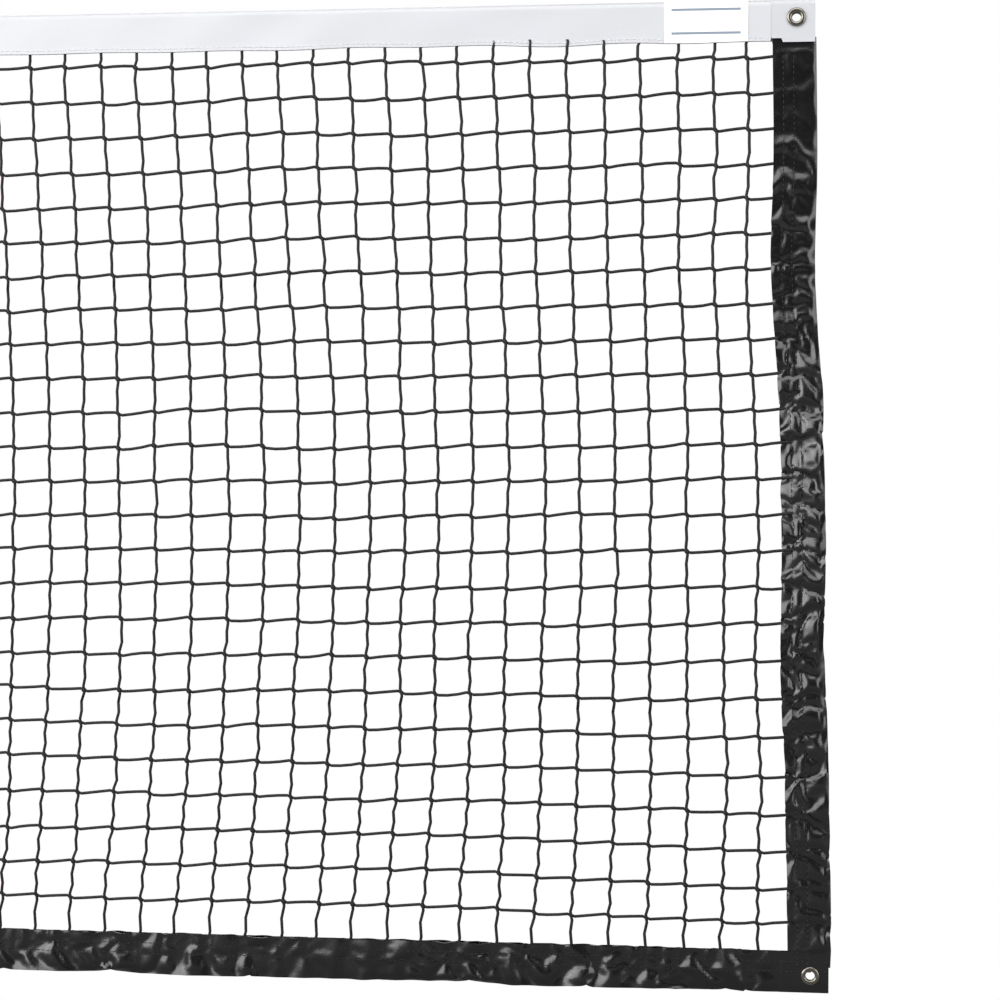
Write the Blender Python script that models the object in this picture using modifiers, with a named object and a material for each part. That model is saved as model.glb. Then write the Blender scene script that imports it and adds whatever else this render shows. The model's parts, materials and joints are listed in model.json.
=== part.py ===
"""Tennis net: white headband, knotted mesh, black side and bottom bands, an eyelet in each corner.

Frame, in metres: X runs along the net, Y across it with the front at -Y, Z up. The origin lies on the
court under the middle of the net. The headband is the still part. The mesh below it bends at three
level lines: the headband's lower edge, mid-height, and the bottom band's upper edge.
"""

import math

import bmesh
import bpy
from mathutils import Vector

# Driving dimensions
NET_LENGTH = 12.72
NET_HEIGHT = 1.07
BAND_WIDTH = 0.046
CLOTH = 0.001
TOUCH = 0.0003
END_SECTION = 0.047

# Headband: a folded white tape, open at both ends for the headline cable
HEADBAND_HALF = 0.0042
HEADBAND_LIP_HALF = 0.0029
PATCH_CLOTH = 0.0008
PATCH_LENGTH = 0.046
LABEL_LENGTH = 0.090
LABEL_CLOTH = 0.0004
LABEL_CENTRE_FROM_END = 0.116

# Black bands: one folded strip, its two plies lying flat with an empty sleeve between them
BAND_HALF = 0.0017

# The lower corners hang a little further out than the upper ones
HEM_OUT = 0.0195

# Netting
TWINE = 0.0028
STRAND = 0.0026
SELVAGE = 0.0026
COURSES = 25
COURSE_PITCH = 0.0386
STRANDS = 315
STRAND_FROM_BAND = 0.024
STRAND_Y = -0.00155
COURSE_Y = 0.00155

# Eyelets
EYELET_HOLE_R = 0.005
EYELET_BARREL_R = 0.0056
EYELET_FLANGE_R = 0.010
EYELET_INSET = 0.0198
EYELET_HEAD = 0.0018
WASHER_R = 0.0096
WASHER_BORE_R = 0.006
WASHER_THICK = 0.0008
HOLE_R = 0.0060
TURN_STEPS = 20

# Fold lines: half the gap that lets neighbouring pieces turn 80 degrees past each other
BAND_GAP = 0.0018
STRAND_GAP = 0.0026

HALF_LENGTH = NET_LENGTH / 2
PATCH_TOP = NET_HEIGHT
HEADBAND_TOP = PATCH_TOP - PATCH_CLOTH - TOUCH
HEADBAND_LIP_Z = NET_HEIGHT - BAND_WIDTH + 0.0015
PATCH_LIP_Z = NET_HEIGHT - BAND_WIDTH
SWING_Z = PATCH_LIP_Z - BAND_GAP
FIRST_COURSE_Z = PATCH_LIP_Z - 0.0145
COURSE_Z = [FIRST_COURSE_Z - i * COURSE_PITCH for i in range(COURSES)]
FOLD_Z = (COURSE_Z[12] + COURSE_Z[13]) / 2
HEM_Z = BAND_WIDTH + BAND_GAP
BAND_INNER_X = HALF_LENGTH - BAND_WIDTH
FIRST_STRAND_X = -BAND_INNER_X + STRAND_FROM_BAND
STRAND_PITCH = -2 * FIRST_STRAND_X / (STRANDS - 1)


def lean(z):
    """How far outwards the side bands lie at a height, beyond their place at the headband."""
    return HEM_OUT * (SWING_Z - z) / (SWING_Z - HEM_Z)


for old in list(bpy.data.objects):
    bpy.data.objects.remove(old, do_unlink=True)

net = bpy.data.collections.new("tennis_net")
cutters = bpy.data.collections.new("cutters")
bpy.context.scene.collection.children.link(net)
bpy.context.scene.collection.children.link(cutters)


def material(name, colour, roughness, metallic=0.0):
    made = bpy.data.materials.new(name)
    made.use_nodes = True
    shader = made.node_tree.nodes["Principled BSDF"]
    shader.inputs["Base Color"].default_value = (*colour, 1.0)
    shader.inputs["Roughness"].default_value = roughness
    shader.inputs["Metallic"].default_value = metallic
    made.diffuse_color = (*colour, 1.0)
    return made


WHITE_VINYL = material("white_vinyl", (0.83, 0.84, 0.86), 0.40)
PATCH_VINYL = material("patch_vinyl", (0.78, 0.80, 0.82), 0.45)
LABEL_PRINT = material("label_print", (0.92, 0.90, 0.88), 0.55)
BLACK_VINYL = material("black_vinyl", (0.016, 0.016, 0.019), 0.30)
BLACK_TWINE = material("black_twine", (0.012, 0.012, 0.013), 0.75)
NICKEL = material("nickel", (0.52, 0.50, 0.46), 0.28, 1.0)


def place(name, mesh, look, collection=net):
    made = bpy.data.objects.new(name, mesh)
    collection.objects.link(made)
    if look:
        made.data.materials.append(look)
    return made


def fold(half, top, lip, lip_half, arc_steps=8):
    """Outer line of a folded strip, from one lip over the fold to the other, as (across, up) points."""
    pinch = top - half > lip + 0.012 and lip_half < half
    side = [(lip_half, lip), (lip_half, lip + 0.0045), (half, lip + 0.0115)] if pinch else [(half, lip)]
    centre = top - half
    turns = [math.pi * i / arc_steps for i in range(arc_steps + 1)]
    arc = [(-half * math.cos(turn), centre + half * math.sin(turn)) for turn in turns]
    return [(-across, up) for across, up in side] + arc + list(reversed(side))


def strip(name, line, start, end, thickness, look):
    """A shell swept along X from start to end: an open surface given its thickness by Solidify.

    A long strip has a section line near each end, so that the eyelet holes cut short faces.
    """
    shape = bmesh.new()
    points = [shape.verts.new((start, across, up)) for across, up in line]
    edges = [shape.edges.new(pair) for pair in zip(points, points[1:])]
    stations = [start, end]
    if end - start > 4 * END_SECTION:
        stations = [start, start + END_SECTION, end - END_SECTION, end]
    for here, there in zip(stations, stations[1:]):
        swept = bmesh.ops.extrude_edge_only(shape, edges=edges)["geom"]
        moved = [item for item in swept if isinstance(item, bmesh.types.BMVert)]
        edges = [item for item in swept if isinstance(item, bmesh.types.BMEdge)
                 and all(point in moved for point in item.verts)]
        bmesh.ops.translate(shape, vec=(there - here, 0, 0), verts=moved)
    middle = Vector(((start + end) / 2, 0, sum(up for _, up in line) / len(line)))
    facing = sum((face.calc_center_median() - middle).dot(face.normal) * face.calc_area() for face in shape.faces)
    if facing < 0:
        bmesh.ops.reverse_faces(shape, faces=shape.faces)
    mesh = bpy.data.meshes.new(name)
    shape.to_mesh(mesh)
    shape.free()
    made = place(name, mesh, look)
    shell = made.modifiers.new("thickness", "SOLIDIFY")
    shell.thickness = thickness
    shell.offset = -1
    shell.use_even_offset = True
    return made


def upright_strip(name, side, low, high):
    """A folded side band between two heights, its fold on the net's outer edge."""
    line = fold(BAND_HALF, BAND_WIDTH, 0.0, BAND_HALF, 6)
    made = strip(name, line, low, high, CLOTH, BLACK_VINYL)
    turned = made.data
    for point in turned.vertices:
        along, across, out = point.co
        point.co = (side * (BAND_INNER_X + lean(along) + out), across, along)
    turned.update()
    if side > 0:
        turned.flip_normals()
    return made


def bore(target, x, z, radius):
    """A round hole through a strip, front to back."""
    bpy.ops.mesh.primitive_cylinder_add(
        vertices=TURN_STEPS, radius=radius, depth=0.06, location=(x, 0, z), rotation=(math.pi / 2, 0, 0)
    )
    cutter = bpy.context.object
    cutter.name = f"cut_{target.name}_{'right' if x > 0 else 'left'}"
    for home in list(cutter.users_collection):
        home.objects.unlink(cutter)
    cutters.objects.link(cutter)
    cutter.hide_render = True
    cutter.display_type = "WIRE"
    cut = target.modifiers.new("hole", "BOOLEAN")
    cut.operation = "DIFFERENCE"
    cut.solver = "EXACT"
    cut.object = cutter


def turned(name, profile, x, z, look):
    """A ring turned about the eyelet's axis, front end first."""
    shape = bmesh.new()
    points = [shape.verts.new((radius, 0, height)) for radius, height in profile]
    for first, second in zip(points, points[1:] + points[:1]):
        shape.edges.new((first, second))
    mesh = bpy.data.meshes.new(name)
    shape.to_mesh(mesh)
    shape.free()
    made = place(name, mesh, look)
    made.location = (x, 0, z)
    made.rotation_euler = (math.pi / 2, 0, 0)
    spin = made.modifiers.new("turn", "SCREW")
    spin.steps = TURN_STEPS
    spin.render_steps = TURN_STEPS
    spin.use_merge_vertices = True
    spin.merge_threshold = 0.00001
    return made


def eyelet(place_name, x, z, cloth_half):
    """A rolled eyelet from the front and the washer it is closed over at the back."""
    seat = cloth_half + TOUCH
    back = seat + EYELET_HEAD
    body = [
        (EYELET_BARREL_R, back),
        (EYELET_FLANGE_R - 0.0006, back),
        (EYELET_FLANGE_R, back - 0.0006),
        (EYELET_FLANGE_R, seat),
        (EYELET_BARREL_R, seat),
        (EYELET_BARREL_R, -seat - WASHER_THICK - TOUCH),
        (0.0074, -seat - WASHER_THICK - TOUCH),
        (0.0074, -back),
        (EYELET_HOLE_R, -back),
        (EYELET_HOLE_R, back - 0.0006),
    ]
    turned(f"eyelet_{place_name}", body, x, z, NICKEL)
    ring = [
        (WASHER_R, -seat),
        (WASHER_R, -seat - WASHER_THICK),
        (WASHER_BORE_R, -seat - WASHER_THICK),
        (WASHER_BORE_R, -seat),
    ]
    turned(f"eyelet_washer_{place_name}", ring, x, z, NICKEL)


def netting(name, tied_z, free_z):
    """Upright strands hanging from, or standing on, the selvage that ties them, as one flat comb."""
    side = 1 if tied_z > free_z else -1
    bar = tied_z - side * SELVAGE
    edge = BAND_INNER_X + lean(max(tied_z, bar)) - TOUCH
    outline = [(edge, tied_z), (-edge, tied_z), (-edge, bar)]
    for i in range(STRANDS):
        x = FIRST_STRAND_X + i * STRAND_PITCH
        left, right = x - STRAND / 2, x + STRAND / 2
        outline += [(left, bar), (left, free_z), (right, free_z), (right, bar)]
    outline.append((edge, bar))
    line = bpy.data.curves.new(name, "CURVE")
    line.dimensions = "2D"
    line.fill_mode = "BOTH"
    line.extrude = STRAND / 2
    run = line.splines.new("POLY")
    run.points.add(len(outline) - 1)
    for point, (x, z) in zip(run.points, outline):
        point.co = (x, z, 0, 1)
    run.use_cyclic_u = True
    made = place(name, line, BLACK_TWINE)
    made.location = (0, STRAND_Y, 0)
    made.rotation_euler = (math.pi / 2, 0, 0)


def mesh_course(number):
    """One level course of twine, running from side band to side band behind the strands."""
    line = bpy.data.curves.new(f"mesh_course_{number:02d}", "CURVE")
    line.dimensions = "3D"
    run = line.splines.new("POLY")
    run.points.add(1)
    for point, side in zip(run.points, (-1, 1)):
        point.co = (side * (BAND_INNER_X + lean(COURSE_Z[number - 1] + TWINE / 2) - TOUCH), 0, 0, 1)
    line.bevel_depth = TWINE / 2
    line.bevel_resolution = 2
    line.use_fill_caps = True
    made = place(line.name, line, BLACK_TWINE)
    made.location = (0, COURSE_Y, COURSE_Z[number - 1])


# Headband, its end patches and the label
headband_line = fold(HEADBAND_HALF, HEADBAND_TOP, HEADBAND_LIP_Z, HEADBAND_LIP_HALF)
headband = strip("headband", headband_line, -HALF_LENGTH, HALF_LENGTH, CLOTH, WHITE_VINYL)

patch_half = HEADBAND_HALF + TOUCH + PATCH_CLOTH
patch_line = fold(patch_half, PATCH_TOP, PATCH_LIP_Z, HEADBAND_LIP_HALF + TOUCH + PATCH_CLOTH)
patches = {}
for side_name, side in (("left", -1), ("right", 1)):
    ends = sorted((side * HALF_LENGTH, side * (HALF_LENGTH - PATCH_LENGTH)))
    patches[side] = strip(f"headband_end_patch_{side_name}", patch_line, ends[0], ends[1], PATCH_CLOTH, PATCH_VINYL)

label_half = HEADBAND_HALF + TOUCH + LABEL_CLOTH
label_top = HEADBAND_TOP + TOUCH + LABEL_CLOTH
label_line = fold(label_half, label_top, HEADBAND_LIP_Z, HEADBAND_LIP_HALF + TOUCH + LABEL_CLOTH)
label_line = label_line[: len(label_line) // 2 + 1]
label_end = HALF_LENGTH - LABEL_CENTRE_FROM_END + LABEL_LENGTH / 2
strip("label_patch", label_line, label_end - LABEL_LENGTH, label_end, LABEL_CLOTH, LABEL_PRINT)

# Bottom band, its fold resting on the court
hem_line = [(across, BAND_WIDTH - up) for across, up in fold(BAND_HALF, BAND_WIDTH, 0.0, BAND_HALF, 6)]
HEM_END = HALF_LENGTH + HEM_OUT
bottom_band = strip("bottom_band", hem_line, -HEM_END, HEM_END, CLOTH, BLACK_VINYL)

# Side bands, in an upper and a lower length that meet at the mid-height fold line
for side_name, side in (("left", -1), ("right", 1)):
    upright_strip(f"side_band_upper_{side_name}", side, FOLD_Z + BAND_GAP, SWING_Z - BAND_GAP)
    upright_strip(f"side_band_lower_{side_name}", side, HEM_Z + BAND_GAP, FOLD_Z - BAND_GAP)

# Eyelets and the holes they are set in
top_eyelet_z = NET_HEIGHT - EYELET_INSET
for side_name, side in (("left", -1), ("right", 1)):
    eyelet_x = side * (HALF_LENGTH - EYELET_INSET)
    bore(headband, eyelet_x, top_eyelet_z, HOLE_R)
    bore(patches[side], eyelet_x, top_eyelet_z, HOLE_R)
    bore(bottom_band, eyelet_x + side * HEM_OUT, EYELET_INSET, HOLE_R)
    eyelet(f"top_{side_name}", eyelet_x, top_eyelet_z, patch_half)
    eyelet(f"bottom_{side_name}", eyelet_x + side * HEM_OUT, EYELET_INSET, BAND_HALF)

# Mesh: upright strands above and below the fold line, and the level courses that cross behind them
netting("netting_upper", SWING_Z - STRAND_GAP, FOLD_Z + STRAND_GAP)
netting("netting_lower", HEM_Z + STRAND_GAP, FOLD_Z - STRAND_GAP)
for course_number in range(1, COURSES + 1):
    mesh_course(course_number)
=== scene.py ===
# %% [markdown]
# A tennis net, seen at its right-hand end. The engineering model is loaded first and stays fixed. What is
# made here is the look: twine, knots, vinyl bands with their puckers, stitching, eyelets, and the finishes.

# %% Load the fixed model
import json
import math

import bpy
import numpy as np
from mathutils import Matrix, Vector

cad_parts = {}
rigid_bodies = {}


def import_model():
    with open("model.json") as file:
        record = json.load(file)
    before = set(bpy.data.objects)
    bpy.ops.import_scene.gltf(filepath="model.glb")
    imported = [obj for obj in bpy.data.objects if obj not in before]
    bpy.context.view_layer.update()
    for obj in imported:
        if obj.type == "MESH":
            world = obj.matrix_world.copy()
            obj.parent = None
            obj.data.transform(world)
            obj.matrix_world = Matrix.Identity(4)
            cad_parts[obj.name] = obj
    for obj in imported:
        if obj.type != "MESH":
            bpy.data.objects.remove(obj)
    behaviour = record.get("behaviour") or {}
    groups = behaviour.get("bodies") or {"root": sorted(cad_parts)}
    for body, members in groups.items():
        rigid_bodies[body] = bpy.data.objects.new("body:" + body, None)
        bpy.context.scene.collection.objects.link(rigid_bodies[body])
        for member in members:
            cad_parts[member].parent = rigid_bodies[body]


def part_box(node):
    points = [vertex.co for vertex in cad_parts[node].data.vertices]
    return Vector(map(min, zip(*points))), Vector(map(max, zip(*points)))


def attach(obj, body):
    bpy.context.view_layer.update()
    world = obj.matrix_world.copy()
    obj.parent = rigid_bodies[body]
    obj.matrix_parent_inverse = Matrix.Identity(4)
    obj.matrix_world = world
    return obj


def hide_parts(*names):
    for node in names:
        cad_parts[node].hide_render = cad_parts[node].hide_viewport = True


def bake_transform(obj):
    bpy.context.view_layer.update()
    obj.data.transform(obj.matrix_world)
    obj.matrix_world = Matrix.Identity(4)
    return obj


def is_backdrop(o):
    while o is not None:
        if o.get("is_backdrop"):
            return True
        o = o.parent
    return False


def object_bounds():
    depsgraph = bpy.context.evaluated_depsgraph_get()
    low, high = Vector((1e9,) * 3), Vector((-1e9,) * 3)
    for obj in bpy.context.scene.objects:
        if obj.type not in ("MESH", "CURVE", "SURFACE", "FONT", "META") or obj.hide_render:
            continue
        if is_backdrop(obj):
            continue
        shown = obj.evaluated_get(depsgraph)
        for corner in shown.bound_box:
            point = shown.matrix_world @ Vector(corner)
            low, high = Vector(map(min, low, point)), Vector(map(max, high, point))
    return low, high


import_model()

cad_low, cad_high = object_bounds()
print("net", [round(v, 3) for v in cad_high - cad_low])

# %% [markdown]
# The sizes come from the model, so that each new piece lies where its solid does.

# %% Sizes, in metres
headband_low, headband_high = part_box("headband")
hem_low, hem_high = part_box("bottom_band")
END_X = headband_high.x
BAND = hem_high.z
BAND_INNER_X = END_X - BAND
HEM_END_X = hem_high.x
LIP_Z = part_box("headband_end_patch_right")[0].z
TOP_Z = cad_high.z
COURSE_Z = [sum(v.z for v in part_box(f"mesh_course_{n:02d}")) / 2 for n in range(1, 26)]
COURSES = len(COURSE_Z)
STRANDS = 315
STRAND_FROM_BAND = 0.024
FIRST_X = -BAND_INNER_X + STRAND_FROM_BAND
PITCH_X = -2 * FIRST_X / (STRANDS - 1)
PITCH_Z = COURSE_Z[0] - COURSE_Z[1]
TWINE = 0.0035
EYELET_HOLE = 0.006
print("mesh", round(PITCH_X * 1000, 2), "by", round(PITCH_Z * 1000, 2), "mm")

# %% [markdown]
# A few helpers keep the cells below short. Operators act on everything that is selected, so each step
# starts with nothing selected.

# %% Helpers for selecting and applying
def only(piece):
    for other in bpy.context.view_layer.objects:
        other.select_set(False)
    piece.select_set(True)
    bpy.context.view_layer.objects.active = piece


def apply_all(piece):
    only(piece)
    for name in [modifier.name for modifier in piece.modifiers]:
        bpy.ops.object.modifier_apply(modifier=name)


def settle(piece):
    """Puts a piece's place, turn and size into its mesh."""
    only(piece)
    bpy.ops.object.transform_apply(location=True, rotation=True, scale=True)


def points_of(piece):
    flat = np.empty(len(piece.data.vertices) * 3)
    piece.data.vertices.foreach_get("co", flat)
    return flat.reshape(-1, 3)


def move_points(piece, points):
    piece.data.vertices.foreach_set("co", points.ravel())
    piece.data.update()


def repeat(piece, step, count, merged=False):
    """Repeats a piece in a row, a given step from one to the next."""
    row = piece.modifiers.new("row", "ARRAY")
    row.use_relative_offset = False
    row.use_constant_offset = True
    row.constant_offset_displace = step
    row.count = count
    row.use_merge_vertices = merged
    row.merge_threshold = 0.0001


def new_name(piece, name):
    piece.name = name
    piece.data.name = name
    return piece


# %% [markdown]
# Colours are written as the hex values a picker shows, and turned to linear light by one function. One
# other function adds a node with its settings and its links.

# %% Helpers for materials
def colour(hexa):
    channels = [int(hexa[i:i + 2], 16) / 255 for i in (1, 3, 5)]
    return (*[c / 12.92 if c <= 0.04045 else ((c + 0.055) / 1.055) ** 2.4 for c in channels], 1.0)


def start_material(name):
    made = bpy.data.materials.new(name)
    made.use_nodes = True
    return made, made.node_tree, made.node_tree.nodes["Principled BSDF"]


def add_node(tree, kind, settings=None, **links):
    """Adds a node. Settings name its own options or its sockets; links give each socket its source."""
    node = tree.nodes.new(kind)
    for key, value in (settings or {}).items():
        if key in node.inputs:
            node.inputs[key].default_value = value
        else:
            setattr(node, key, value)
    for key, source in links.items():
        tree.links.new(source, node.inputs[key.replace("_", " ")])
    return node


# %% [markdown]
# The camera stands a little under three metres away, level with the upper half of the net, and looks
# slightly left and down, so that the near end is a few per cent larger than what runs off to the left.

# %% Camera
LENS = 92.3
YAW = math.radians(7.5)
TILT = math.radians(2.4)
bpy.ops.object.camera_add(location=(6.386, -2.772, 0.6505), rotation=(math.pi / 2 - TILT, 0, YAW))
camera = bpy.context.object
camera.data.lens = LENS
camera.data.sensor_width = 36
camera.data.clip_end = 200
bpy.context.scene.camera = camera
print("camera", [round(v, 3) for v in camera.location])

# %% [markdown]
# Studio: a white floor and a white surround to the eye. For reflections the surround is a dim grey, and
# soft boxes above and to both sides give the black vinyl its highlights while its flat faces stay dark.

# %% Floor and surround
bpy.ops.mesh.primitive_plane_add(size=400, location=(0, 0, -0.004))
floor = new_name(bpy.context.object, "studio_floor")
floor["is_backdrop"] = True
floor_look, tree, shader = start_material("painted_studio_floor")
shader.inputs["Base Color"].default_value = (0.3, 0.3, 0.3, 1)
shader.inputs["Roughness"].default_value = 0.9
to_eye = add_node(tree, "ShaderNodeLightPath")
glow = add_node(tree, "ShaderNodeEmission", {"Color": (1, 1, 1, 1), "Strength": 1.0})
mix = add_node(tree, "ShaderNodeMixShader", None, Fac=to_eye.outputs["Is Camera Ray"])
tree.links.new(shader.outputs[0], mix.inputs[1])
tree.links.new(glow.outputs[0], mix.inputs[2])
tree.links.new(mix.outputs[0], tree.nodes["Material Output"].inputs["Surface"])
floor.data.materials.append(floor_look)

world = bpy.data.worlds.new("studio")
bpy.context.scene.world = world
world.use_nodes = True
tree = world.node_tree
to_eye = add_node(tree, "ShaderNodeLightPath")
strength = add_node(tree, "ShaderNodeMapRange", {"To Min": 0.06, "To Max": 1.0},
                    Value=to_eye.outputs["Is Camera Ray"])
tree.nodes["Background"].inputs["Color"].default_value = (1, 1, 1, 1)
tree.links.new(strength.outputs[0], tree.nodes["Background"].inputs["Strength"])
bpy.context.scene.view_settings.view_transform = "Standard"


# %% Soft boxes
def soft_box(name, place, aim, size, power):
    bpy.ops.object.light_add(type="AREA", location=place)
    lamp = new_name(bpy.context.object, name)
    lamp.data.shape = "RECTANGLE"
    lamp.data.size, lamp.data.size_y = size
    lamp.data.energy = power
    lamp.rotation_euler = (Vector(aim) - Vector(place)).to_track_quat("-Z", "Y").to_euler()


soft_box("box_left", (3.7, -2.8, 1.4), (6.2, 0, 0.5), (2.3, 2.8), 86)
soft_box("box_right", (8.6, -2.0, 1.3), (6.3, 0, 0.5), (1.8, 2.6), 44)
soft_box("box_over", (6.1, -1.9, 2.95), (6.1, 0, 0.5), (3.4, 1.8), 62)
soft_box("box_far", (-4.5, -4.0, 3.0), (-4.0, 0, 0.6), (8.0, 3.0), 420)
soft_box("box_back", (0.0, 6.0, 5.0), (0.0, 0, 0.5), (10.0, 4.0), 400)

# %% [markdown]
# The netting is polyethylene twine, braided 3.5 mm thick and knotted at every crossing. Each part of
# it is made once in counting space, where one step is one mesh, and repeated with two arrays. A formula
# then takes every point to its true place, so knots drift, strands bow and courses step at each knot.

# %% Where each knot lies
rng = np.random.default_rng(7)


def smooth_noise(shape, passes):
    """Random values in rows and columns, evened out between neighbours, about one in size."""
    field = rng.normal(size=shape)
    for _ in range(passes):
        field = (np.roll(field, 1, 0) + np.roll(field, -1, 0) + 2 * field) / 4
        field = (np.roll(field, 1, 1) + np.roll(field, -1, 1) + 2 * field) / 4
    return field / field.std()


def lean(z):
    """How much further out the side bands hang at a height than at the headband, with their slow sway."""
    down = np.clip((TOP_Z - z) / TOP_Z, 0, 1)
    sway = -0.0050 * np.exp(-((down - 0.27) / 0.08) ** 2) - 0.0035 * np.exp(-((down - 0.67) / 0.07) ** 2)
    lower_half = np.clip((down - 0.35) / 0.1, 0, 1) * np.clip((1 - down) / 0.05, 0, 1)
    return (HEM_END_X - END_X) * down + sway + 0.003 * lower_half


def drift(x, z):
    """How far the hung cloth strays sideways and up from the level, square mesh, in metres."""
    from_right = END_X - x
    from_left = x + END_X
    down = (TOP_Z - z) / TOP_Z
    near_end = np.minimum(from_right, from_left)
    side = np.where(from_right < from_left, 1.0, -1.0)
    middle = np.sin(np.pi * np.clip(down, 0, 1))
    bow = middle * (0.0168 - 0.0128 * np.cos(2 * np.pi * near_end / 1.5)) * np.exp(-(near_end / 2.2) ** 2)
    spread = lean(z) * np.exp(-(np.maximum(near_end, 0) / (0.24 + 0.2 * middle)) ** 1.4)
    tie = -0.005 * np.exp(-((near_end - BAND - STRAND_FROM_BAND) / 0.03) ** 2)
    sideways = side * (bow + spread + tie)
    lift = 0.0125 * np.sin(np.pi * np.clip((down - 0.12) / 0.8, 0, 1)) * np.exp(-near_end / 0.35)
    away = (1 - np.exp(-(near_end / 0.45) ** 2)) * np.exp(-(near_end / 3) ** 2)
    lift = lift + 0.0068 * np.sin(np.pi * np.clip((down - 0.25) / 0.68, 0, 1)) * away
    low_down = np.clip((down - 0.6) / 0.2, 0, 1) * np.clip((1 - down) / 0.1, 0, 1)
    lift = lift - 0.0105 * low_down * np.exp(-(near_end / 0.26) ** 2)
    return sideways, lift


grid_x = FIRST_X + PITCH_X * np.arange(-1, STRANDS + 1)
grid_z = np.array([LIP_Z + 0.008] + COURSE_Z + [BAND - 0.016])
KX, KZ = np.meshgrid(grid_x, grid_z, indexing="ij")
side_shift, up_shift = drift(KX, KZ)
knot_x = KX + side_shift + 0.0011 * smooth_noise(KX.shape, 2) + 0.0005 * rng.normal(size=KX.shape)
knot_z = KZ + up_shift + 0.0011 * smooth_noise(KX.shape, 2) + 0.0005 * rng.normal(size=KX.shape)
knot_y = 0.0016 * smooth_noise(KX.shape, 5)
knot_x[:, 0] += 0.0025
bow_up = 0.0009 * rng.normal(size=KX.shape)
bow_level = 0.0007 * rng.normal(size=KX.shape)
print("knots", knot_x.size)

# %% [markdown]
# A strand is a five-sided tube with five rings to a mesh, closest together beside the knots, where twine
# turns most. Arrays repeat one ring length along the strand, then the strand along the net.

# %% Tubes in counting space
RINGS = (0.0, 0.1, 0.35, 0.65, 0.9)
SIDES = 5
COUNTED = 0.25    # radius of a tube or a knot while it is in counting space


def counted_tubes(name, tubes, steps):
    """Tubes standing on Z, one unit apart along X, with a ring at every whole step of Z."""
    bpy.ops.mesh.primitive_cylinder_add(
        vertices=SIDES, radius=COUNTED, depth=1, end_fill_type="NOTHING", location=(0, 0, 0.5))
    piece = new_name(bpy.context.object, name)
    settle(piece)
    repeat(piece, (0, 0, 1), steps, merged=True)
    repeat(piece, (1, 0, 0), tubes)
    apply_all(piece)
    bpy.ops.object.mode_set(mode="EDIT")
    bpy.ops.mesh.select_all(action="DESELECT")
    bpy.ops.mesh.select_non_manifold()
    bpy.ops.mesh.fill_holes(sides=SIDES)
    bpy.ops.object.mode_set(mode="OBJECT")
    return piece


def pressed(x, z):
    """One where the twine is free, and nought where it lies pressed flat between the plies of a band."""
    inside = np.maximum(np.abs(x) - BAND_INNER_X - lean(z), BAND - z)
    return 1 - np.clip((inside + 0.001) / 0.004, 0, 1)


def between(field, i, j, step_i, step_j, part):
    """A field at the knot (i, j), moved by part towards the next knot."""
    return field[i, j] * (1 - part) + field[i + step_i, j + step_j] * part


def step_shape(part):
    """A saw-tooth from one knot to the next, which eases to nothing at each."""
    near = np.minimum(part, 1 - part)
    return (part - 0.5) * (1 - np.exp(-(near / 0.05) ** 2))


def lay_strands(piece, first_tube, first_ring):
    """Takes upright tubes from counting space to the net."""
    points = points_of(piece)
    tube = np.round(points[:, 0]).astype(int)
    ring = np.round(points[:, 2]).astype(int) + first_ring
    across, deep = (points[:, 0] - tube) / COUNTED, points[:, 1] / COUNTED
    i = tube + first_tube + 1
    j, part = ring // len(RINGS), np.array(RINGS)[ring % len(RINGS)]
    j_next = np.minimum(j + 1, COURSES + 1) - j
    lower = np.clip(j / COURSES * 2 - 1, 0, 1)
    wave = bow_up[i, j] * np.sin(np.pi * part) - (0.0034 + 0.0026 * lower) * step_shape(part)
    wave = wave - (0.0009 + 0.0015 * lower) * np.sin(2 * np.pi * part)
    x = between(knot_x, i, j, 0, j_next, part) + wave
    y = between(knot_y, i, j, 0, j_next, part) - 0.0006
    z = between(knot_z, i, j, 0, j_next, part)
    free = pressed(x, z)
    deep = deep * (0.3 + 0.7 * free)
    move_points(piece, np.stack([x + across * TWINE / 2, y * free + deep * TWINE / 2, z], 1))


def lay_courses(piece, first_ring, first_course):
    """Turns the tubes level: a tube's length runs along the net, and each tube is one course."""
    points = points_of(piece)
    tube = np.round(points[:, 0]).astype(int)
    ring = np.round(points[:, 2]).astype(int) + first_ring
    across, deep = (points[:, 0] - tube) / COUNTED, points[:, 1] / COUNTED
    j = tube + first_course + 1
    i, part = ring // len(RINGS), np.array(RINGS)[ring % len(RINGS)]
    i_next = np.minimum(i + 1, STRANDS + 1) - i
    wave = bow_level[i, j] * np.sin(np.pi * part) + 0.0036 * step_shape(part)
    x = between(knot_x, i, j, i_next, 0, part)
    y = between(knot_y, i, j, i_next, 0, part) + 0.0006
    z = between(knot_z, i, j, i_next, 0, part) + wave
    free = pressed(x, z)
    deep = deep * (0.3 + 0.7 * free)
    move_points(piece, np.stack([x, y * free + deep * TWINE / 2, z - across * TWINE / 2], 1))
    piece.data.flip_normals()


# %% [markdown]
# A knot is a small lump, longer one way than the other, because each strand passes round its neighbour.
# It is a sphere of few faces, drawn out longer one way and turned across the mesh's diagonal.

# %% Knots in counting space
def counted_knots(name, strands, courses):
    bpy.ops.mesh.primitive_uv_sphere_add(segments=6, ring_count=4, radius=COUNTED)
    piece = new_name(bpy.context.object, name)
    bpy.ops.object.mode_set(mode="EDIT")
    bpy.ops.mesh.select_all(action="SELECT")
    bpy.ops.transform.resize(value=(0.86, 0.8, 1.12), center_override=(0, 0, 0))
    bpy.ops.transform.rotate(value=math.radians(38), orient_axis="Y", center_override=(0, 0, 0))
    bpy.ops.object.mode_set(mode="OBJECT")
    settle(piece)
    repeat(piece, (1, 0, 0), strands)
    repeat(piece, (0, 0, 1), courses)
    apply_all(piece)
    return piece


KNOT = 0.0031


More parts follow.
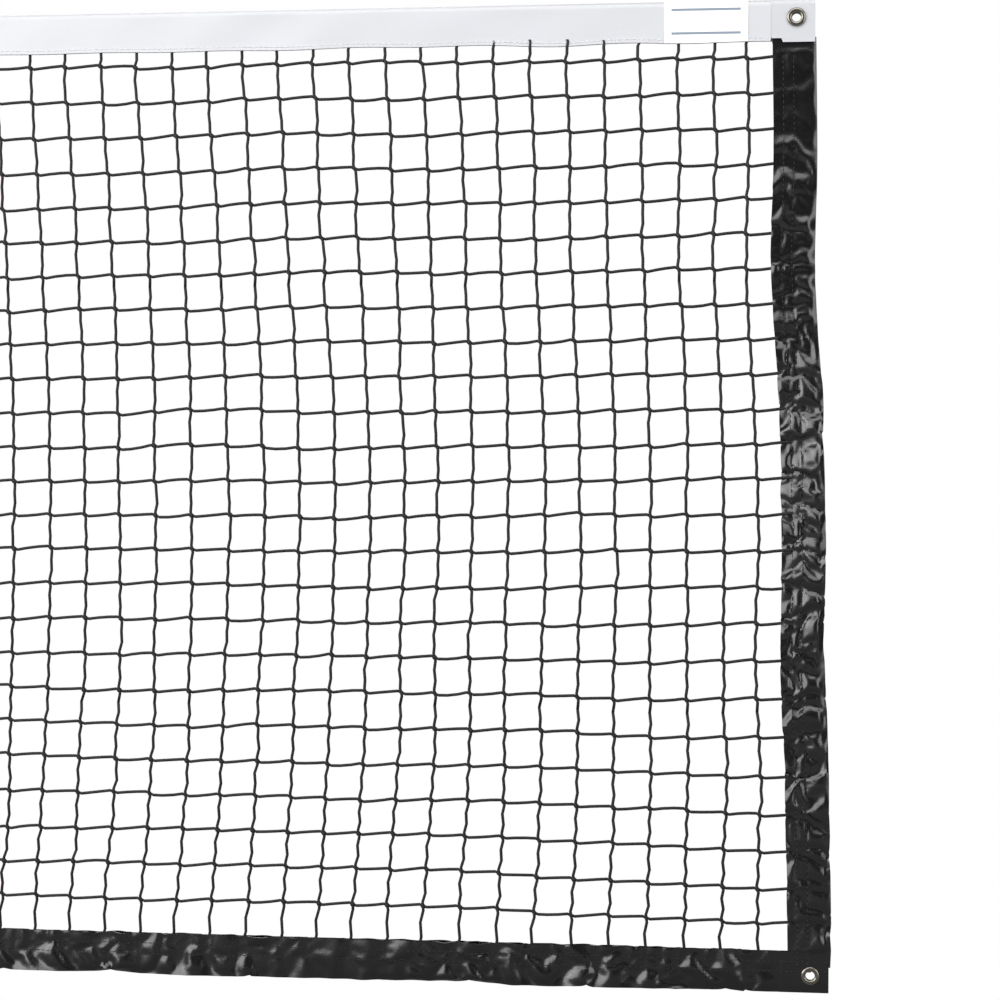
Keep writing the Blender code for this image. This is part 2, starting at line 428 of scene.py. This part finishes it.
def lay_knots(piece, first_tube, first_course):
    points = points_of(piece)
    tube, course = np.round(points[:, 0]).astype(int), np.round(points[:, 2]).astype(int)
    local = np.stack([points[:, 0] - tube, points[:, 1], points[:, 2] - course], 1) / COUNTED
    i, j = tube + first_tube + 1, course + first_course + 1
    size = (KNOT * (1 + 0.12 * np.sin(i * 12.9 + j * 78.2)))[:, None]
    centre = np.stack([knot_x[i, j], knot_y[i, j], knot_z[i, j]], 1)
    move_points(piece, centre + local * size)


# %% [markdown]
# The net hinges at three level lines, and the netting is made in three heights, each in four lengths.
# Each piece here only has its place baked into its mesh.


def bend(piece):
    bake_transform(piece)


# %% Finish of the twine
# Braided polyethylene: dull black, with the lay of the fibres too fine to see except as a faint mottle.
twine_look, tree, shader = start_material("braided_polyethylene_twine")
shader.inputs["Base Color"].default_value = colour("#09090b")
shader.inputs["Roughness"].default_value = 0.62
shader.inputs["IOR"].default_value = 1.51
place = add_node(tree, "ShaderNodeTexCoord")
lay = add_node(tree, "ShaderNodeTexNoise", {"Scale": 900.0, "Detail": 2.0}, Vector=place.outputs["Object"])
relief = add_node(tree, "ShaderNodeBump", {"Strength": 0.35, "Distance": 0.0004}, Height=lay.outputs["Fac"])
tree.links.new(relief.outputs["Normal"], shader.inputs["Normal"])

# %% Make the netting
LENGTHS = 4
CUTS = [round(k * (STRANDS + 1) / LENGTHS) for k in range(LENGTHS + 1)]
HEIGHTS = (("top", 0, 7), ("middle", 7, 19), ("bottom", 19, COURSES))
for height, first, last in HEIGHTS:
    ring_from = 0 if first == 0 else first * len(RINGS) + 2
    ring_to = last * len(RINGS) + 2 if last < COURSES else (COURSES + 1) * len(RINGS)
    for k in range(LENGTHS):
        left, right = CUTS[k], CUTS[k + 1]
        strands_here = min(right, STRANDS) - left
        upright = counted_tubes(f"netting_{height}_{k + 1}", strands_here, ring_to - ring_from)
        lay_strands(upright, left, ring_from)
        level = counted_tubes("level", last - first, (right - left) * len(RINGS))
        lay_courses(level, left * len(RINGS), first)
        knots = counted_knots("knots", strands_here, last - first)
        lay_knots(knots, left, first)
        only(upright)
        level.select_set(True)
        knots.select_set(True)
        bpy.ops.object.join()
        upright.data.materials.clear()
        upright.data.materials.append(twine_look)
        bpy.ops.object.shade_smooth()
        bend(upright)
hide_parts("netting_upper", *[f"mesh_course_{n:02d}" for n in range(1, 8)])
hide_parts(*[f"mesh_course_{n:02d}" for n in range(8, 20)])
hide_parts("netting_lower", *[f"mesh_course_{n:02d}" for n in range(20, 26)])


# %% [markdown]
# Everything else of cloth is a sheet folded over the edge of the mesh. Each sheet is laid out as rows and
# columns of points, and one function turns the points into a closed cloth of its real thickness.

# %% Sheets from rows and columns of points
def cloth_from(name, surface, thickness, look):
    """A grid with one point for each point of the surface, thickened, with its faces outward."""
    rows, columns = surface.shape[:2]
    bpy.ops.mesh.primitive_grid_add(x_subdivisions=columns - 1, y_subdivisions=rows - 1, size=1)
    piece = new_name(bpy.context.object, name)
    points = points_of(piece)
    column = np.round((points[:, 0] + 0.5) * (columns - 1)).astype(int)
    row = np.round((points[:, 1] + 0.5) * (rows - 1)).astype(int)
    move_points(piece, surface[row, column])
    shell = piece.modifiers.new("thickness", "SOLIDIFY")
    shell.thickness = thickness
    shell.offset = 0
    apply_all(piece)
    face_outward(piece)
    bpy.ops.object.shade_smooth_by_angle(angle=math.radians(55))
    piece.data.materials.append(look)
    return piece


def face_outward(piece):
    only(piece)
    bpy.ops.object.mode_set(mode="EDIT")
    bpy.ops.mesh.select_all(action="SELECT")
    bpy.ops.mesh.normals_make_consistent(inside=False)
    bpy.ops.object.mode_set(mode="OBJECT")
    bpy.ops.object.shade_smooth()


def punch(piece, x, z, radius):
    """A round hole through both plies, for an eyelet."""
    bpy.ops.mesh.primitive_cylinder_add(
        vertices=32, radius=radius, depth=0.06, location=(x, 0, z), rotation=(math.pi / 2, 0, 0))
    cutter = bpy.context.object
    hole = piece.modifiers.new("hole", "BOOLEAN")
    hole.operation = "DIFFERENCE"
    hole.object = cutter
    apply_all(piece)
    bpy.data.objects.remove(cutter)


# %% [markdown]
# Plasticised PVC has a soft gloss. On the black bands it is calendered, with a fine grain; the white tape
# is a little duller.

# %% Finishes of the vinyl, the label and the metal
def vinyl(name, hexa, roughness, grain):
    look, tree, shader = start_material(name)
    shader.inputs["Base Color"].default_value = colour(hexa)
    shader.inputs["Roughness"].default_value = roughness
    shader.inputs["IOR"].default_value = 1.53
    place = add_node(tree, "ShaderNodeTexCoord")
    fine = add_node(tree, "ShaderNodeTexNoise", {"Scale": 260.0, "Detail": 3.0},
                    Vector=place.outputs["Object"])
    relief = add_node(tree, "ShaderNodeBump", {"Strength": 0.5, "Distance": grain},
                      Height=fine.outputs["Fac"])
    tree.links.new(relief.outputs["Normal"], shader.inputs["Normal"])
    return look, tree, shader


black_look, _, shader = vinyl("lacquered_black_pvc_cloth", "#070709", 0.27, 0.0003)
shader.inputs["Coat Weight"].default_value = 0.55
shader.inputs["Coat Roughness"].default_value = 0.22
white_look = vinyl("white_pvc_coated_tape", "#cdced2", 0.42, 0.0002)[0]
patch_look = vinyl("white_pvc_reinforcement", "#c9cace", 0.38, 0.0002)[0]
LABEL_X = sum(v.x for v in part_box("label_patch")) / 2
LABEL_Z = sum(v.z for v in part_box("label_patch")) / 2
label_look, tree, shader = vinyl("screen_printed_label", "#fbfaf9", 0.5, 0.0001)
place = add_node(tree, "ShaderNodeTexCoord")
split = add_node(tree, "ShaderNodeSeparateXYZ", None, Vector=place.outputs["Object"])
STRIPE_UP = 0.0125
STRIPE_HALF_LENGTH = 0.0370
STRIPE_HALF_WIDTH = 0.0013


def within(tree, source, middle, half):
    """One where a value is within half of the middle, and nought elsewhere."""
    test = add_node(tree, "ShaderNodeMath", {"operation": "COMPARE"})
    tree.links.new(source, test.inputs[0])
    test.inputs[1].default_value = middle
    test.inputs[2].default_value = half
    return test


# Plain print: one blue-grey stripe along the label's upper edge and one along its lower edge.
ground = None
for up in (STRIPE_UP, -STRIPE_UP):
    level = within(tree, split.outputs["X"], LABEL_X, STRIPE_HALF_LENGTH)
    upright = within(tree, split.outputs["Z"], LABEL_Z + up, STRIPE_HALF_WIDTH)
    both = add_node(tree, "ShaderNodeMath", {"operation": "MULTIPLY"})
    tree.links.new(level.outputs[0], both.inputs[0])
    tree.links.new(upright.outputs[0], both.inputs[1])
    ink = add_node(tree, "ShaderNodeMixRGB", {"Color1": colour("#fbfaf9"), "Color2": colour("#8795a3")},
                   Fac=both.outputs[0])
    if ground:
        tree.links.new(ground.outputs[0], ink.inputs["Color1"])
    ground = ink
tree.links.new(ground.outputs[0], shader.inputs["Base Color"])

# Rolled brass, nickel plated: a warm grey metal, polished in a barrel.
nickel_look, tree, shader = start_material("barrel_polished_nickel_plate")
shader.inputs["Base Color"].default_value = colour("#8d887e")
shader.inputs["Metallic"].default_value = 1.0
shader.inputs["Roughness"].default_value = 0.24

# Bonded polyester sewing thread, slightly shiny.
thread_looks = {}
for name, hexa in (("black_sewing_thread", "#1d1d20"), ("white_sewing_thread", "#e4e5e9")):
    thread_looks[name], tree, shader = start_material(name)
    shader.inputs["Base Color"].default_value = colour(hexa)
    shader.inputs["Roughness"].default_value = 0.45
print("finishes", len(bpy.data.materials))

# %% [markdown]
# The headband is a white vinyl tape folded over a sleeve that is left open for the headline cable, and
# sewn along its lower edge. Its outline across is the model's own, with slow ripples along it.

# %% Headband
TAPE = 0.0008
LABEL_CLOTH = 0.0004
HEADBAND_HALF = headband_high.y
HEADBAND_LIP = HEADBAND_HALF - 0.0013


def fold_line(half, top, lip, lip_half, count):
    """Points evenly spaced round a folded tape: front lip, sleeve, fold, sleeve, rear lip."""
    turns = np.linspace(0, math.pi, 17)
    across = [-lip_half, -lip_half, *(-half * np.cos(turns)), lip_half, lip_half]
    up = [lip, lip + 0.0055, *(top - half + half * np.sin(turns)), lip + 0.0055, lip]
    run = np.concatenate([[0], np.cumsum(np.hypot(np.diff(across), np.diff(up)))])
    even = np.linspace(0, run[-1], count)
    return np.interp(even, run, across), np.interp(even, run, up)


def ripple(x, seed):
    """Slow uneven waves along the net, about one in size, still at both ends."""
    waves = np.random.default_rng(seed)
    total = sum(np.sin(x * waves.uniform(6, 60) + waves.uniform(0, 6.3)) for _ in range(9)) / 2.2
    return total * np.clip((END_X - np.abs(x) - 0.06) / 0.1, 0, 1)


def notch(x):
    """The front lip rises over the inner corner of each side band."""
    inner = END_X - np.abs(x)
    return 0.0042 * np.clip((inner - 0.0345) / 0.001, 0, 1) * np.clip((0.0475 - inner) / 0.001, 0, 1)


def folded_tape(x, half, top, lip, lip_half, count, seed):
    """Rows of points of a tape folded over the top of the net, one row for each x."""
    across, up = fold_line(half, top, lip, lip_half, count)
    share = (up - lip) / (top - lip)
    belly = np.sin(math.pi * np.clip(share, 0, 1))
    front = across < 0
    ripples = np.where(front, ripple(x, seed)[:, None], ripple(x, seed + 1)[:, None])
    y = across[None, :] * (1 + 0.16 * belly[None, :] * ripples)
    z = up[None, :] + 0.0006 * (1 - share)[None, :] * ripple(x, seed + 2)[:, None]
    z = z + np.where(front, notch(x)[:, None] * np.clip(1 - share * 3, 0, 1)[None, :], 0)
    return np.stack([np.broadcast_to(x[:, None], y.shape), y, z], 2)


stations = np.concatenate([
    np.linspace(-END_X, -END_X + 0.06, 25), np.linspace(-END_X + 0.08, END_X - 1.4, 440),
    np.linspace(END_X - 1.39, END_X - 0.065, 240), np.linspace(END_X - 0.06, END_X, 49)])
surface = folded_tape(stations, HEADBAND_HALF - TAPE / 2, headband_high.z - TAPE / 2, headband_low.z,
                      HEADBAND_LIP - TAPE / 2, 35, 21)
headband = cloth_from("headband_tape", surface, TAPE, white_look)
TOP_EYELET = [sum(v[k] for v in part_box("eyelet_top_right")) / 2 for k in range(3)]
for side in (-1, 1):
    punch(headband, side * TOP_EYELET[0], TOP_EYELET[2], EYELET_HOLE)
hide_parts("headband")
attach(headband, "headband")
print("headband", len(headband.data.polygons), "faces")

# %% End reinforcements and label
for side, word in ((-1, "left"), (1, "right")):
    low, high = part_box(f"headband_end_patch_{word}")
    x = np.linspace(low.x, high.x, 40)
    surface = folded_tape(x, high.y - TAPE / 2, high.z - TAPE / 2, low.z, high.y - 0.0017, 43, 31)
    patch = cloth_from(f"end_reinforcement_{word}", surface, TAPE, patch_look)
    punch(patch, side * TOP_EYELET[0], TOP_EYELET[2], EYELET_HOLE)
    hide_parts(f"headband_end_patch_{word}")
    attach(patch, "headband")

low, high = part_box("label_patch")
x = np.linspace(low.x, high.x, 60)
surface = folded_tape(x, -low.y - 0.0001, high.z - 0.0001, low.z, -low.y - 0.0014, 43, 21)[:, :22]
label = cloth_from("printed_label", surface, LABEL_CLOTH, label_look)
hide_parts("label_patch")
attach(label, "headband")
print("label", len(label.data.polygons), "faces")

# %% [markdown]
# The side and bottom bands are black vinyl-coated cloth, a strip folded in two round the edge of the mesh
# and sewn with two rows of stitches. Twine pulls the strip in wherever it is tied, and the loose vinyl
# between buckles into puckers and creases. That is what a cloth simulation gives: the strip is held at
# the ties and grows by up to a tenth, most where the creases are deepest.

# %% A folded strip, and how it crumples
GAP = 0.0012
VINYL = 0.0006
DEEPEST_CREASE = 0.0095
FRAMES = 26


def folded_strip(length, steps_along, steps_across, gap):
    """A flat strip, folded lengthways: out along the front, round the fold, back along the rear."""
    bpy.ops.mesh.primitive_grid_add(x_subdivisions=steps_across, y_subdivisions=steps_along, size=1)
    piece = bpy.context.object
    points = points_of(piece)
    path, along = (points[:, 0] + 0.5) * 2 * BAND, (points[:, 1] + 0.5) * length
    turn = math.pi * gap / 2
    flat = BAND - turn / 2
    angle = np.clip((path - flat) / turn, 0, 1) * math.pi
    returning = np.where(path >= flat + turn, 2 * BAND - path, flat + gap * np.sin(angle))
    out = np.where(path <= flat, path, returning)
    move_points(piece, np.stack([out, -gap * np.cos(angle), along], 1))
    return piece, path, along


def crumple(piece, path, along, held, growth, most_growth, stiffness, frames, seed):
    """Lets the strip grow and buckle between the points that are held."""
    draw = np.random.default_rng(seed)
    points = points_of(piece)
    start = sum(np.sin(along * draw.uniform(20, 220) + path * draw.uniform(-120, 120) + draw.uniform(0, 6.3))
                for _ in range(40)) / 4.5
    points[:, 1] += 0.0006 * start * (held < 0.5)
    move_points(piece, points)
    for label, weights in (("held", held), ("tight", 1 - growth)):
        group = piece.vertex_groups.new(name=label)
        weights = np.round(weights, 2)
        for level in np.unique(weights):
            group.add(np.nonzero(weights == level)[0].tolist(), float(level), "REPLACE")
    cloth = piece.modifiers.new("cloth", "CLOTH")
    cloth.settings.quality = 6
    cloth.settings.tension_stiffness = 40
    cloth.settings.compression_stiffness = 40
    cloth.settings.shear_stiffness = 20
    cloth.settings.bending_stiffness = stiffness
    cloth.settings.vertex_group_mass = "held"
    cloth.settings.shrink_min = -most_growth
    cloth.settings.shrink_max = 0
    cloth.settings.vertex_group_shrink = "tight"
    cloth.settings.effector_weights.gravity = 0.1
    cloth.point_cache.frame_start = 1
    cloth.point_cache.frame_end = frames
    for frame_number in range(1, frames + 1):
        bpy.context.scene.frame_set(frame_number)
    apply_all(piece)
    bpy.context.scene.frame_set(1)


def strip_points(piece, path, along):
    """The strip's points in rows and columns, its plies kept apart and its folds kept shallow."""
    points = points_of(piece)
    order = np.lexsort((path, along))
    points, path = points[order], path[order]
    outward = np.where(path < BAND, -1.0, 1.0)
    bulge = np.sqrt((points[:, 1] * outward - GAP / 2) ** 2 + 0.0005 ** 2) - 0.0005
    clear = 0.0009 * np.clip((BAND - points[:, 0] - 0.001) / 0.004, 0, 1)
    puffed = outward * (clear + DEEPEST_CREASE * np.tanh(bulge / DEEPEST_CREASE))
    fold = np.clip((points[:, 0] - BAND + 0.006) / 0.005, 0, 1)
    points[:, 1] = puffed * (1 - fold) + points[:, 1] * fold
    columns = len(np.unique(np.round(path, 6)))
    bpy.data.objects.remove(piece)
    return points.reshape(-1, columns, 3)


# %% Side band
BAND_TOP = LIP_Z + 0.0055
BAND_FOOT = BAND - 0.014
SIDE_LENGTH = BAND_TOP - BAND_FOOT
STEP = 0.0024
ROWS_OF_STITCHES = (0.011, 0.022)
strip, path, along = folded_strip(SIDE_LENGTH, round(SIDE_LENGTH / STEP), round(2 * BAND / STEP), GAP)
out = points_of(strip)[:, 0]
height = along + BAND_FOOT
to_course = np.min(np.abs(height[:, None] - np.array(COURSE_Z)[None, :]), axis=1)
stitched = np.minimum(np.abs(out - ROWS_OF_STITCHES[0]), np.abs(out - ROWS_OF_STITCHES[1])) < 0.0014
held = np.where((stitched | (out < 0.002)) & (to_course < 0.0029), 1.0, 0.0)
held = np.where((height > BAND_TOP - 0.012) | (height < BAND_FOOT + 0.016), 1.0, held)
down = (TOP_Z - height) / TOP_Z
growth = 0.3 * np.clip((down - 0.13) / 0.06, 0, 1) + 0.7 * np.clip((down - 0.3) / 0.12, 0, 1)
growth = growth * np.clip((0.97 - down) / 0.15, 0, 1)
calm = 1 - 0.75 * np.clip((out - BAND + 0.010) / 0.006, 0, 1)
crumple(strip, path, along, held, (0.06 + 0.94 * growth) * calm,
        most_growth=0.10, stiffness=2.5, frames=FRAMES, seed=11)
side_surface = strip_points(strip, path, along)
deepest = float(np.abs(side_surface[..., 1]).max())
print("side band", side_surface.shape, "deepest fold", round(deepest * 1000, 1), "mm")


def hang(surface, side):
    """Takes the side band's points from the strip to one end of the net."""
    z = surface[..., 2] + BAND_FOOT
    x = BAND_INNER_X + surface[..., 0] + lean(z)
    z = z + drift(x, z)[1]
    down = (TOP_Z - z) / TOP_Z
    twist = 0.27 * np.exp(-((down - 0.5) / 0.14) ** 2)
    return np.stack([side * x, surface[..., 1] - twist * (surface[..., 0] - 0.016), z], -1)


row_z = np.median(side_surface[..., 2], axis=1) + BAND_FOOT
UPPER_CUT_Z = 0.76
LOWER_CUT_Z = 0.29
CUT_HIGH = int(np.argmin(np.abs(row_z - UPPER_CUT_Z)))
CUT_LOW = int(np.argmin(np.abs(row_z - LOWER_CUT_Z)))
SPANS = {"top": (CUT_HIGH, len(row_z) - 1), "middle": (CUT_LOW, CUT_HIGH), "bottom": (0, CUT_LOW)}
STANDS_FOR = {"top": "side_band_upper_{}", "bottom": "side_band_lower_{}"}
for side, word in ((-1, "left"), (1, "right")):
    hung = hang(side_surface, side)
    for height, (first, last) in SPANS.items():
        part_hung = hung[first:last + 1]
        piece = cloth_from(f"side_band_{height}_{word}", part_hung, VINYL, black_look)
        bend(piece)
        if height in STANDS_FOR:
            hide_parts(STANDS_FOR[height].format(word))
        long = SIDE_LENGTH * (last - first) / (len(row_z) - 1)

# %% Bottom band
TILES = 10
TILE = 2 * HEM_END_X / TILES
TILE_STEP = 0.0032
HEM_GAP = 0.0017
strip, path, along = folded_strip(TILE, round(TILE / TILE_STEP), round(2 * BAND / TILE_STEP), HEM_GAP)
out = points_of(strip)[:, 0]
to_strand = np.abs((HEM_END_X - along - FIRST_X + PITCH_X / 2) % PITCH_X - PITCH_X / 2)
stitched = np.minimum(np.abs(out - ROWS_OF_STITCHES[0]), np.abs(out - ROWS_OF_STITCHES[1])) < 0.0018
held = np.where((stitched | (out < 0.002)) & (to_strand < 0.0035), 1.0, 0.0)
held = np.where(along < 0.052, 1.0, held)
wander = 0.6 + 0.4 * np.sin(along * 13 + 0.8) * np.sin(along * 5 + 2)
calm = 1 - 0.75 * np.clip((out - BAND + 0.010) / 0.006, 0, 1)
calm = calm * np.clip((along - 0.05) / 0.05, 0, 1)
crumple(strip, path, along, held, wander * calm,
        most_growth=0.09, stiffness=5.0, frames=FRAMES, seed=5)
hem_surface = strip_points(strip, path, along)
print("bottom band", hem_surface.shape)


def lay_hem(surface, side, tile):
    """Takes a tile of the bottom band to its place; every other tile runs the other way."""
    along = surface[..., 2] if tile % 2 == 0 else TILE - surface[..., 2]
    x = side * (HEM_END_X - tile * TILE - along)
    return np.stack([x, surface[..., 1], np.maximum(BAND - surface[..., 0], 0.0003)], -1)


BOTTOM_EYELET = [sum(v[k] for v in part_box("eyelet_bottom_right")) / 2 for k in range(3)]
near = cloth_from("bottom_band_right", lay_hem(hem_surface, 1, 0), VINYL, black_look)
coarse = hem_surface[::3, ::2]
if (len(hem_surface) - 1) % 3:
    coarse = np.concatenate([coarse, hem_surface[-1:, ::2]])
rest = []
for tile in range(1, TILES):
    laid = lay_hem(coarse, 1, tile)
    laid = laid[::-1] if tile % 2 else laid
    rest.append(laid if tile == 1 else laid[1:])
far = cloth_from("bottom_band_rest", np.concatenate(rest), VINYL, black_look)
punch(near, BOTTOM_EYELET[0], BOTTOM_EYELET[2], EYELET_HOLE)
punch(far, -BOTTOM_EYELET[0], BOTTOM_EYELET[2], EYELET_HOLE)
for piece, long in ((near, TILE), (far, TILE * (TILES - 1))):
    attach(piece, "hem")
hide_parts("bottom_band")
print("bottom band", len(near.data.polygons), len(far.data.polygons), "faces")

# %% [markdown]
# Stitches are short lengths of thread lying on the cloth, six millimetres from one to the next. They are
# made standing in a row in counting space, and then laid along a line of points of the cloth.

# %% Stitches
THREAD = 0.0009
STITCH = 0.006


def stitches(name, lines, look):
    """Rows of stitches along lines of points on the cloth, each with the side it faces."""
    parts = []
    for line, facing in lines:
        run = np.concatenate([[0], np.cumsum(np.linalg.norm(np.diff(line, axis=0), axis=1))])
        count = int(run[-1] / STITCH)
        bpy.ops.mesh.primitive_cylinder_add(vertices=4, radius=COUNTED, depth=0.7, location=(0, 0, 0.5))
        part = bpy.context.object
        settle(part)
        repeat(part, (0, 0, 1), count)
        apply_all(part)
        points = points_of(part)
        at = points[:, 2] / count * run[-1]
        centre = np.stack([np.interp(at, run, line[:, k]) for k in range(3)], 1)
        ahead = np.stack([np.interp(at + 0.002, run, line[:, k]) for k in range(3)], 1)
        back = np.stack([np.interp(at - 0.002, run, line[:, k]) for k in range(3)], 1)
        forward = ahead - back
        forward /= np.linalg.norm(forward, axis=1)[:, None]
        level = np.cross(forward, [0, 1, 0])
        level /= np.linalg.norm(level, axis=1)[:, None]
        outward = np.array([0, facing, 0])
        across, deep = points[:, :1] / COUNTED, points[:, 1:2] / COUNTED
        offset = level * across * THREAD / 2 + outward * (deep * THREAD / 2 + 0.0005)
        move_points(part, centre + offset)
        parts.append(part)
    only(parts[0])
    for part in parts[1:]:
        part.select_set(True)
    if len(parts) > 1:
        bpy.ops.object.join()
    piece = new_name(parts[0], name)
    face_outward(piece)
    piece.data.materials.append(look)
    return piece


def ply_line(surface, out, front):
    """A line of points along a strip, at a distance from its open edge, on one ply."""
    columns = surface.shape[1]
    column = out / (2 * BAND) * (columns - 1)
    column = column if front else columns - 1 - column
    low = int(column)
    return surface[:, low] * (1 - column + low) + surface[:, low + 1] * (column - low)


for side, word in ((-1, "left"), (1, "right")):
    hung = hang(side_surface, side)
    for height, (first, last) in SPANS.items():
        top_row = last - 5 if height == "top" else last
        lines = [(ply_line(hung[first:top_row + 1], out, front), -1 if front else 1)
                 for out in ROWS_OF_STITCHES for front in (True, False)]
        bend(stitches(f"side_band_stitches_{height}_{word}", lines, thread_looks["black_sewing_thread"]))
whole = np.concatenate([lay_hem(hem_surface, 1, 0)] + [
    lay_hem(hem_surface, 1, tile)[::-1 if tile % 2 else 1][1:] for tile in range(1, TILES)])
for front, word in ((True, "front"), (False, "rear")):
    lines = [(ply_line(whole, out, front), -1 if front else 1) for out in ROWS_OF_STITCHES]
    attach(stitches(f"bottom_band_stitches_{word}", lines, thread_looks["black_sewing_thread"]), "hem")
    edge = (-1 if front else 1) * (HEADBAND_LIP - TAPE / 2)
    x = stations[(stations > -END_X + 0.048) & (stations < END_X - 0.048)]
    line = np.stack([x, np.full_like(x, edge), headband_low.z + 0.0035 + 0.0006 * ripple(x, 23)], 1)
    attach(stitches(f"headband_stitches_{word}", [(line, -1 if front else 1)],
                     thread_looks["white_sewing_thread"]), "headband")

# %% [markdown]
# Each eyelet is a barrel with a rolled front flange, closed over a washer at the back. A grid is rolled
# round into a ring: one way follows the outline of the metal, the other goes round the hole.

# %% Eyelets and washers
def ring(name, outline, x, z):
    """A ring round the eyelet's hole. The outline is a closed line of (radius, depth)."""
    outline = np.array([*outline, outline[0]])
    bpy.ops.mesh.primitive_grid_add(x_subdivisions=len(outline) - 1, y_subdivisions=48, size=1)
    piece = new_name(bpy.context.object, name)
    points = points_of(piece)
    step = np.round((points[:, 0] + 0.5) * (len(outline) - 1)).astype(int)
    turn = (points[:, 1] + 0.5) * 2 * math.pi
    radius, depth = outline[step].T
    move_points(piece, np.stack([x + radius * np.cos(turn), depth, z + radius * np.sin(turn)], 1))
    only(piece)
    bpy.ops.object.mode_set(mode="EDIT")
    bpy.ops.mesh.select_all(action="SELECT")
    bpy.ops.mesh.remove_doubles(threshold=0.000002)
    bpy.ops.object.mode_set(mode="OBJECT")
    face_outward(piece)
    bpy.ops.object.shade_smooth_by_angle(angle=math.radians(50))
    piece.data.materials.append(nickel_look)
    return piece


for where, body in (("top", "headband"), ("bottom", "hem")):
    for side, word in ((-1, "left"), (1, "right")):
        low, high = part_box(f"eyelet_{where}_{word}")
        x, z = (low.x + high.x) / 2, (low.z + high.z) / 2
        front, rear = low.y, high.y
        seat = front + 0.0018
        turns = np.linspace(0, math.pi, 13)
        flange = [(0.0075 - 0.0025 * math.cos(t), seat - 0.0018 * math.sin(t) ** 0.8) for t in turns]
        curl = [(0.0056, rear - 0.0016), (0.0066, rear - 0.0014), (0.0073, rear - 0.0008),
                (0.0070, rear - 0.0002), (0.0062, rear), (0.0054, rear - 0.0004), (0.0050, rear - 0.0012)]
        eyelet = ring(f"rolled_eyelet_{where}_{word}", [*flange, (0.0056, seat), *curl], x, z)
        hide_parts(f"eyelet_{where}_{word}")
        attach(eyelet, body)
        low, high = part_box(f"eyelet_washer_{where}_{word}")
        edge = 0.0002
        outline = [(0.0060, low.y + edge), (0.0062, low.y), (0.0094, low.y), (0.0096, low.y + edge),
                   (0.0096, high.y - edge), (0.0094, high.y), (0.0062, high.y), (0.0060, high.y - edge)]
        washer = ring(f"washer_{where}_{word}", outline, x, z)
        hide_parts(f"eyelet_washer_{where}_{word}")
        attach(washer, body)
print("eyelets and washers done")

# %% How far the new pieces reach past the model's box
low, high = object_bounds()
print("grown by", [round((a - b) * 1000, 1) for a, b in zip(high, cad_high)],
      [round((b - a) * 1000, 1) for a, b in zip(low, cad_low)], "mm")
